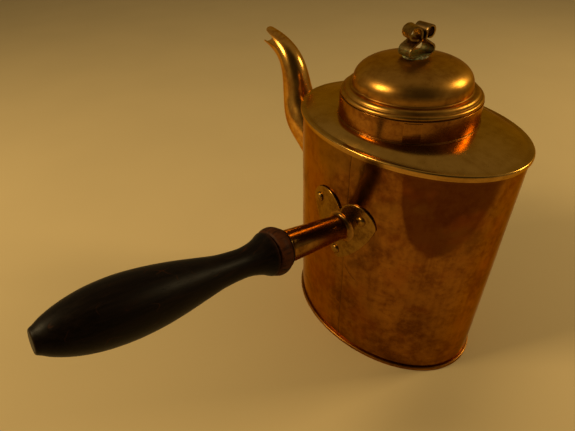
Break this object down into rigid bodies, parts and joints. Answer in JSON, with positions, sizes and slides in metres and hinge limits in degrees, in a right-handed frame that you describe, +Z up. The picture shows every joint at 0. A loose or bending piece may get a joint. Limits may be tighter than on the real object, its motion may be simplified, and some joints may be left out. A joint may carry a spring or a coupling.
{
  "type": "side-handled coffee pot",
  "caption": "Oval sheet-brass stovetop coffee pot with a swan-neck spout, a lift-off domed lid, a scroll finial and a turned black wooden side handle.",
  "frame": {"origin": "centre of the flat resting face under the base", "axes": "+Z up; the spout points to -X; the side handle points to -Y"},
  "size_m": [0.2049, 0.2725, 0.2138],
  "materials": {
    "body_brass": "worn satin, coppery, mottled",
    "top_brass": "satin",
    "polished_brass": "polished, lightly tarnished",
    "plate_brass": "satin, tarnished in the corners",
    "dark_brass": "dark tarnish",
    "solder": "dull grey with green stains",
    "black_wood": "ebonised, satin, worn brown on the edges"
  },
  "bodies": {
    "pot": {"base_plate": "body_brass", "body_wall": "body_brass", "top_plate": "top_brass", "collar": "polished_brass", "spout": "polished_brass", "spout_solder": "solder", "handle_plate": "plate_brass", "rivet_upper_left": "plate_brass", "rivet_upper_right": "plate_brass", "rivet_lower": "plate_brass", "handle_socket": "polished_brass", "root_collar": "plate_brass", "handle_pin": "plate_brass", "wooden_handle": "black_wood"},
    "lid": {"lid_cover": "polished_brass", "lid_bezel": "polished_brass", "finial_scroll": "dark_brass", "finial_solder": "solder"}
  },
  "joints": [
    {"name": "lid_lift", "type": "slide", "parent": "pot", "child": "lid", "axis": [0, 0, 1], "range_m": [0, 0.06]}
  ]
}
